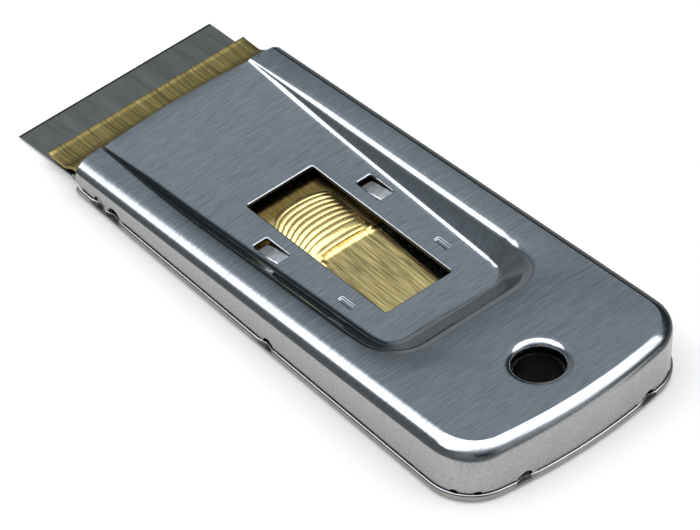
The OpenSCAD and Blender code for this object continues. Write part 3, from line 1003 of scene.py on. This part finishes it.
class ScraperFinish(bpy.types.PropertyGroup):
    steel: FloatVectorProperty(
        name="Steel", description="Colour of the brushed steel", default=(0.38, 0.40, 0.43), subtype="COLOR")
    brass: FloatVectorProperty(
        name="Brass", description="Colour of the brass", default=(0.76, 0.60, 0.26), subtype="COLOR")
    olive: FloatVectorProperty(
        name="Strip", description="Colour of the older brass of the blade holder",
        default=(0.41, 0.325, 0.12), subtype="COLOR")
    floor: FloatVectorProperty(
        name="Floor", description="Colour of the floor", default=(0.9, 0.9, 0.9), subtype="COLOR")


# Operators
class MakeTopShell(bpy.types.Operator):
    """Pressed steel shell with its panel, window, tabs and rolled hole"""
    bl_idname = "scraper.top_shell"
    bl_label = "Top shell"

    def execute(self, context):
        p = context.scene.scraper_shell
        shell = finish_mesh("shell_skin", *shell_skin())
        orient(shell)
        thicken(shell, p.sheet / MM)
        round_rims(shell, p.hole_rim / MM)
        dress(shell, "shell steel", "cut steel", self.on_cut)
        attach(shell, "handle")
        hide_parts("top_shell")
        for rect in TABS:
            tab = bent_tab(rect)
            dress(tab, "tab steel")
            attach(tab, "handle")
        return {"FINISHED"}

    @staticmethod
    def on_cut(middle, normal):
        """True on the cut sides of the window and the slits, which are painted dark as shade."""
        gaps = [abs(rect_distance(middle.x, middle.y, rect, r)) for rect, r in HOLES]
        return abs(normal.z) < 0.3 and min(gaps) < 0.12


def tray_wall():
    """Rows of points from the tray's rim, turned in a little, down its wall and round its lower edge."""
    plan = shell_plan(TRAY_OUT)
    bends = [math.pi / 16 * k for k in range(9)]
    levels = TRAY_RIM + [(TRAY_EDGE_R * (1 - math.cos(a)), TRAY_EDGE_R * (1 - math.sin(a))) for a in bends]
    rows = []
    for inset, z in levels:
        row = []
        for i, (p, n) in enumerate(plan):
            dent = CRIMP_DEPTH * near_notch(p, n) * smooth((z - 0.75) / 0.6)
            w = p - n * (inset + dent)
            if i in (0, len(plan) - 1):
                w.y = TRAY_FRONT_Y
            row.append((w.x, w.y, z))
        rows.append(row)
    return rows


def tray_floor(foot):
    """Floor inside the foot of the wall, with the relief for the blade and the eyelet's raised seat."""
    right = [(RELIEF_HALF, TRAY_FRONT_Y), (RELIEF_HALF, RELIEF_Y)]
    relief = right + [(-x, y) for x, y in reversed(right)]
    boundary = [Vector(v[:2]) for v in foot + relief]
    patch = Patch()
    patch.line(boundary)
    for radius in (SEAT_HOLE_R, SEAT_R, SEAT_FOOT_R):
        patch.line(circle(radius, 64))

    def on_floor(x, y):
        cut_out = math.hypot(x, y) < SEAT_HOLE_R or (abs(x) < RELIEF_HALF and y > RELIEF_Y)
        return not cut_out and point_inside(x, y, boundary)

    corners, faces = patch.fill(on_floor)
    rim = (SEAT_R + SEAT_FOOT_R) / 2
    return [(v.x, v.y, SEAT_LIFT if v.length < rim else 0.0) for v in corners], faces


class MakeTray(bpy.types.Operator):
    """Shallow tray crimped on from below, and the eyelet in the hanging hole"""
    bl_idname = "scraper.tray"
    bl_label = "Tray and eyelet"

    def execute(self, context):
        rows = tray_wall()
        wall = ([v for row in rows for v in row], grid_faces(len(rows), len(rows[0])))
        tray = finish_mesh("tray_skin", *join(wall, tray_floor(rows[-1])))
        orient(tray, way=-1, below=0.2)
        thicken(tray, TRAY_SHEET, 0.05)
        dress(tray, "tray steel", "crimp steel", self.on_crimp)
        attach(tray, "handle")
        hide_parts("base_tray")
        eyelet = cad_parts["hole_eyelet"]
        rim_z = max(v.co.z for v in eyelet.data.vertices) / MM - 0.4
        # The eyelet's wall inside the hole is painted nearly black as shade; its top faces keep the tray's
        # steel.
        dress(eyelet, "eyelet steel", "tray steel", lambda middle, normal: normal.z > 0.3 and middle.z > rim_z)
        return {"FINISHED"}

    @staticmethod
    def on_crimp(middle, normal):
        """True on the part of the rim that is pressed into a notch, which is painted dark as shade."""
        level = Vector((normal.x, normal.y))
        return middle.z > 0.95 and level.length > 0.4 and near_notch(middle, level.normalized()) > 0.3


def blade_z(y):
    """Height of the middle of the blade at y."""
    return EDGE_Z + (EDGE_Y - y) * math.tan(TILT)


def ease(y0, z0, y1, z1, n=20):
    """Points of a soft step from one place to another, without the first."""
    steps = [i / n for i in range(1, n + 1)]
    return [(y0 + (y1 - y0) * u, z0 + (z1 - z0) * (1 - math.cos(math.pi * u)) / 2) for u in steps]


def strip_profile():
    """Section of the holder's strip, from its lip back over the dip and the riser to its plate."""
    lip_y = EDGE_Y - LIP_BACK
    dip_y = lip_y - DIP_FALL_L
    rear_dip_y = dip_y - DIP_L
    rise_y = rear_dip_y - DIP_FALL_L
    dip_z = blade_z(dip_y) + SPINE_HALF_T + JAW_GAP + BRASS_SHEET
    lip_z = dip_z + LIP_RISE
    roof_z = PLATE_Z + ROOF_RISE
    path = [(lip_y, lip_z)] + ease(lip_y, lip_z, lip_y - LIP_BEND, dip_z, 8) + [(rear_dip_y, dip_z)]
    path += ease(rear_dip_y, dip_z, rise_y, roof_z) + ease(rise_y, roof_z, ROOF_END_Y, PLATE_Z)
    # the step from the strip's width to the plate's
    return path + [(y, PLATE_Z) for y in (STRIP_REAR_Y + 0.04, STRIP_REAR_Y - 0.04, PLATE_REAR_Y)]


class MakeBladeHolder(bpy.types.Operator):
    """Brass strip over the blade, and the lower jaw"""
    bl_idname = "scraper.blade_holder"
    bl_label = "Blade holder"

    def execute(self, context):
        path = strip_profile()
        columns = 25
        verts = []
        for y, z in path:
            half = STRIP_HALF if y > STRIP_REAR_Y else PLATE_HALF
            verts += [(half * (2 * i / (columns - 1) - 1), y, z) for i in range(columns)]
        strip = finish_mesh("holder_strip", verts, grid_faces(len(path), columns))
        orient(strip)
        thicken(strip, context.scene.scraper_brass.sheet / MM, 0.1)
        dress(strip, "strip brass")
        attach(strip, "holder")
        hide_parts("blade_holder")
        dress(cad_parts["backing_plate"], "strip brass")
        return {"FINISHED"}


def leaf_outline():
    """Outline of the leaf in plan: its neck, an ear on each side, and its tapered tongue."""
    right = [
        (LEAF_HALF, LEAF_FRONT_Y), (LEAF_HALF, EAR_Y1), (EAR_HALF, EAR_Y1),
        (EAR_HALF, EAR_Y0), (LEAF_HALF, EAR_Y0), (LEAF_HALF, PAD_Y0),
        (TONGUE_HALF, PAD_Y0), (TONGUE_REAR_HALF, TONGUE_REAR_Y),
    ]
    left = [(-x, y) for x, y in reversed(right)]
    return left[-1:] + right + left[:-1]


def leaf_height(x, y):
    """Height of the leaf, which is hooked under the holder in front and bent down at its rear."""
    slope = 0.35 * max(PAD_Y0 - y, 0.0) / 18.2
    rear_bend = 0.85 * smooth((25.0 - y) / 3.1)
    hook = 0.58 * smooth((y - 60.6) / 1.8)
    # the fold behind the pad, its swollen ends, and the turned-up corner at its left foot
    u = (y - PAD_Y0 - 0.08) / 0.34
    fold = 0.28 * math.exp(-u * u) * smooth((6.3 - abs(x)) / 0.7)
    ends = 0.36 * math.exp(-u * u * 0.6 - ((abs(x) - 4.9) / 0.9) ** 2)
    corner = 0.4 * math.exp(-((y - PAD_Y0 + 0.8) / 0.55) ** 2 - ((x + 5.3) / 0.6) ** 2)
    return PLATE_Z - slope - rear_bend - hook + fold + ends + corner


def ribbed_pad():
    """Ramp that rises to the rear, crowned across, with ribs that bow to the rear at their ends."""
    p = bpy.context.scene.scraper_brass
    ribs, rib_h = p.ribs, p.rib_height / MM
    across, along, down = 56, ribs * 14, 8
    length = PAD_Y1 - PAD_Y0 - PAD_FACE
    rows = []
    for j in range(along + 1):
        u = j / along
        rise = math.sin(math.pi / 2 * min(u / 0.92, 1)) ** 0.8
        turn = u * (ribs - 1) / EVEN_RIBS if u < EVEN_RIBS else ribs - 1 + (u - EVEN_RIBS) / (1 - EVEN_RIBS)
        ridge = abs(math.sin(math.pi * turn)) ** 0.6
        if turn > ribs - 1:
            # the last rib is wider and higher
            ridge = math.sin(math.pi * (turn - ribs + 1) ** 0.55) ** 0.8 * 1.5
        row = []
        for i in range(across + 1):
            # closer points on the flanks
            v = math.sin(math.pi / 2 * (-1 + 2 * i / across))
            crown = max(0.0, 1 - abs(v) ** 2.6)
            z = crown * rise * (PAD_HEIGHT - rib_h)
            z += min(1.0, crown * 1.6) * rib_h * ridge * min(1.0, u * ribs)
            # rounded down at the rear, so that it slips under the window's edge
            z -= 0.42 * crown * smooth((u - 0.955) / 0.045)
            y = PAD_Y1 - u * length - (PAD_BOW - 0.7 * v) * (1 - u) * (1 - crown)
            row.append((v * PAD_HALF, y, PLATE_Z - 0.04 + z))
        rows.append(row)
    foot = PLATE_Z - 0.4
    crest = rows[-1]
    for k in range(1, down + 1):
        w = math.pi / 2 * k / down
        row = []
        for x, y, z in crest:
            z = max(z, PLATE_Z - 0.3)
            row.append((x, y - (PAD_FACE - 0.3) * math.sin(w), foot + (z - foot) * math.cos(w)))
        rows.append(row)
    pad = finish_mesh("thumb_pad", [v for row in rows for v in row], grid_faces(len(rows), across + 1))
    orient(pad)
    sharpen(pad, 80)
    return pad


class MakeThumbSlide(bpy.types.Operator):
    """Brass leaf with the ribbed thumb pad"""
    bl_idname = "scraper.thumb_slide"
    bl_label = "Thumb slide"

    def execute(self, context):
        slot = rounded_rect((-5.5, 5.5, PAD_Y0 + 0.42, PAD_Y0 + 0.98), 0.25)
        leaf = flat_sheet("thumb_leaf", leaf_outline(), leaf_height, 0.2, slot)
        thicken(leaf, context.scene.scraper_brass.sheet / MM, 0.07)
        dress(leaf, "leaf brass")
        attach(leaf, "thumb")
        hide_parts("thumb_slide")
        pad = ribbed_pad()
        dress(pad, "pad brass")
        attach(pad, "thumb")
        return {"FINISHED"}


class MakeBlade(bpy.types.Operator):
    """Single-edge blade with its ground edge, and the folded spine"""
    bl_idname = "scraper.blade"
    bl_label = "Blade and spine"

    def execute(self, context):
        half = BLADE_SHEET / 2
        upper = [(-0.4, 0.09), (-0.9, half), (-BLADE_DEPTH, half)]
        section = [(0.0, 0.0)] + upper + [(y, -z) for y, z in reversed(upper)]
        n = len(section)
        c, s = math.cos(TILT), math.sin(TILT)
        places = [(EDGE_Y + y * c + z * s, EDGE_Z - y * s + z * c) for y, z in section]
        verts = [(x, y, z) for x in (-BLADE_HALF, BLADE_HALF) for y, z in places]
        faces = [(i, (i + 1) % n, n + (i + 1) % n, n + i) for i in range(n)]
        faces += [tuple(range(n)), tuple(range(2 * n - 1, n - 1, -1))]
        blade = finish_mesh("blade_sheet", verts, faces)
        sharpen(blade, 3)
        dress(blade, "blade steel", "edge steel", self.on_edge)
        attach(blade, "blade")
        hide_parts("razor_blade")
        dress(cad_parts["blade_spine"], "spine steel")
        return {"FINISHED"}

    @staticmethod
    def on_edge(middle, normal):
        """True on the ground cutting edge."""
        return middle.y > EDGE_Y - 0.3 and abs(normal.x) < 0.5


# The camera, solved from the photograph: its view, and where the frame's origin is in pixels
IMAGE = (700.0, 530.0)
CAMERA_AZ = math.radians(-41.656)
CAMERA_EL = math.radians(44.064)
CAMERA_FOCUS = 7600.0
CAMERA_SCALE = 6.860
ORIGIN_PX = (537.614, 411.063)
FILM_W = 36.0
VIEW_RIGHT = (math.cos(CAMERA_AZ), math.sin(CAMERA_AZ), 0)
VIEW_AHEAD = (-math.sin(CAMERA_AZ), math.cos(CAMERA_AZ), 0)

# The floor: how the camera sees it, and its colours in reflections, which are a painted reflection
FLOOR_SEEN = 0.55
FLOOR_GLOW = 0.25
FLOOR_WARM = (0.74, 0.71, 0.655, 1.0)
FLOOR_DIM = 0.14

# The softbox, by how far a direction leans to the right and away from the camera:
# where its left and right edge and its near and far edge begin and end, and its brightness
BOX_ACROSS = (-1.34, -1.26, 1.2, 2.6)
BOX_AHEAD = (-0.85, -0.35, 0.42, 0.49)
BOX_RADIANCE = 3.0
# The room, by height: dark near the horizon, pale above the object
SKY = [
    (0.30, (0.035, 0.045, 0.045)),
    (0.49, (0.10, 0.12, 0.125)),
    (0.62, (0.40, 0.45, 0.48)),
    (0.80, (0.55, 0.60, 0.64)),
]


def grey(value):
    """A colour without hue."""
    return (value, value, value, 1.0)


class MakeStage(bpy.types.Operator):
    """White floor, the softbox and the room in the world, and the camera"""
    bl_idname = "scraper.stage"
    bl_label = "Stage"

    def execute(self, context):
        self.camera(context)
        self.floor(context)
        self.room(context)
        context.scene.view_settings.view_transform = "Standard"
        return {"FINISHED"}

    def camera(self, context):
        """Puts the camera where the photograph was taken from."""
        right = Vector(VIEW_RIGHT)
        level = math.cos(CAMERA_EL)
        look = Vector((VIEW_AHEAD[0] * level, VIEW_AHEAD[1] * level, -math.sin(CAMERA_EL)))
        up = right.cross(look)
        distance = CAMERA_FOCUS / CAMERA_SCALE
        x = (ORIGIN_PX[0] - IMAGE[0] / 2) / CAMERA_SCALE
        y = -(ORIGIN_PX[1] - IMAGE[1] / 2) / CAMERA_SCALE
        data = bpy.data.cameras.new("camera")
        data.lens = CAMERA_FOCUS * FILM_W / IMAGE[0]
        data.sensor_width = FILM_W
        data.sensor_fit = "HORIZONTAL"
        data.clip_start = 0.05
        data.clip_end = 20.0
        camera = bpy.data.objects.new("camera", data)
        place = Matrix((right, up, -look)).transposed().to_4x4()
        place.translation = -(look * distance + right * x + up * y) * MM
        camera.matrix_world = place
        context.collection.objects.link(camera)
        context.scene.camera = camera

    def floor(self, context):
        """White floor, which the camera sees a little brighter, and the metal as a painted reflection, warmer
        and dark in places.
        """
        bpy.ops.mesh.primitive_plane_add(size=6.0, location=(0, 0, -0.05 * MM))
        floor = context.object
        floor.name = "floor"
        mat, tree, plain = new_material("floor white")
        plain.inputs["Base Color"].default_value = (*context.scene.scraper_finish.floor, 1.0)
        plain.inputs["Roughness"].default_value = 0.9
        plain.inputs["Specular IOR Level"].default_value = 0.0
        rays = add_node(tree, "LightPath").outputs
        seen = calc(tree, "MAXIMUM", rays["Is Camera Ray"], rays["Is Glossy Ray"])
        seen = calc(tree, "MAXIMUM", seen, rays["Is Transmission Ray"])
        pale = add_node(tree, "BsdfDiffuse", {"Color": grey(FLOOR_SEEN)}).outputs[0]
        glow = add_node(tree, "Emission", {"Color": grey(1.0), "Strength": FLOOR_GLOW}).outputs[0]
        bright = add_node(tree, "AddShader", {0: pale, 1: glow}).outputs[0]
        white = mix_shader(tree, seen, plain.outputs[0], bright)
        # painted reflection: the metal sees it warmer, and dark at a flat angle and near the camera, but not
        # at the rear right
        place = add_node(tree, "NewGeometry").outputs["Position"]
        across, ahead = reach(tree, place, VIEW_RIGHT), reach(tree, place, VIEW_AHEAD)
        flat = soft_step(tree, add_node(tree, "LayerWeight").outputs["Facing"], 0.40, 0.66)
        rear = soft_step(tree, ahead, -0.004, -0.008)
        rear = calc(tree, "MULTIPLY", soft_step(tree, across, -0.004, 0.012), rear)
        fade = calc(tree, "MULTIPLY", flat, calc(tree, "SUBTRACT", 1.0, rear))
        fade = calc(tree, "MAXIMUM", fade, soft_step(tree, ahead, -0.0235, -0.033))
        warm = add_node(tree, "BsdfDiffuse", {"Color": FLOOR_WARM}).outputs[0]
        dim = add_node(tree, "BsdfDiffuse", {"Color": grey(FLOOR_DIM)}).outputs[0]
        last = mix_shader(tree, rays["Is Glossy Ray"], white, mix_shader(tree, fade, warm, dim))
        output = next(n for n in tree.nodes if n.type == "OUTPUT_MATERIAL")
        tree.links.new(last, output.inputs[0])
        floor.data.materials.append(mat)

    def room(self, context):
        """The world: one long softbox above the object, across the view, in a graded room."""
        world = bpy.data.worlds.new("studio")
        context.scene.world = world
        world.use_nodes = True
        tree = world.node_tree
        tree.nodes.clear()
        way = add_node(tree, "TexCoord").outputs["Generated"]
        height = add_node(tree, "SeparateXYZ", {0: way}).outputs["Z"]
        across, ahead = reach(tree, way, VIEW_RIGHT), reach(tree, way, VIEW_AHEAD)
        mask = soft_step(tree, height, 0.02, 0.04)
        for source, edges in ((across, BOX_ACROSS), (ahead, BOX_AHEAD)):
            lean = calc(tree, "DIVIDE", source, height)
            for a, b in (edges[:2], edges[:1:-1]):
                mask = calc(tree, "MULTIPLY", mask, soft_step(tree, lean, a, b))
        # the left half of the room and its far right are paler near the horizon
        left = calc(tree, "MULTIPLY_ADD", soft_step(tree, across, -0.9, -0.25), 0.16, 0.14)
        left = calc(tree, "MULTIPLY", left, soft_step(tree, across, 0.08, -0.08))
        right = soft_step(tree, ahead, -0.18, -0.30)
        right = calc(tree, "MULTIPLY", soft_step(tree, across, 0.45, 0.85), right)
        pale = calc(tree, "ADD", left, calc(tree, "MULTIPLY", right, 0.42))
        pale = calc(tree, "MULTIPLY", pale, soft_step(tree, height, 0.56, 0.40))
        wall = add_node(tree, "VectorMath", {0: ramp(tree, height, SKY), 1: pale}).outputs["Vector"]
        box = {"Factor": mask, "A": wall, "B": grey(BOX_RADIANCE)}
        light = add_node(tree, "Mix", box, data_type="RGBA").outputs["Result"]
        back = add_node(tree, "Background", {"Color": light})
        add_node(tree, "OutputWorld", {0: back.outputs[0]})


class ScraperPanel(bpy.types.Panel):
    """Lists the scraper's sizes, colours and pieces"""
    bl_idname = "VIEW3D_PT_scraper"
    bl_label = "Scraper"
    bl_space_type = "VIEW_3D"
    bl_region_type = "UI"
    bl_category = "Scraper"

    def draw(self, context):
        for name, _ in GROUPS:
            group = getattr(context.scene, name)
            for key in group.__annotations__:
                self.layout.prop(group, key)
        for op in OPERATORS:
            self.layout.operator(op.bl_idname)


GROUPS = (("scraper_shell", ScraperShell), ("scraper_brass", ScraperBrass), ("scraper_finish", ScraperFinish))
OPERATORS = (MakeTopShell, MakeTray, MakeBladeHolder, MakeThumbSlide, MakeBlade, MakeStage)


def register():
    for name, group in GROUPS:
        bpy.utils.register_class(group)
        setattr(bpy.types.Scene, name, PointerProperty(type=group))
    for cls in (*OPERATORS, ScraperPanel):
        bpy.utils.register_class(cls)


def unregister():
    for cls in (ScraperPanel, *reversed(OPERATORS)):
        bpy.utils.unregister_class(cls)
    for name, group in reversed(GROUPS):
        delattr(bpy.types.Scene, name)
        bpy.utils.unregister_class(group)


def main():
    register()
    for op in OPERATORS:
        group, name = op.bl_idname.split(".")
        getattr(getattr(bpy.ops, group), name)()


if __name__ == "__main__":
    main()
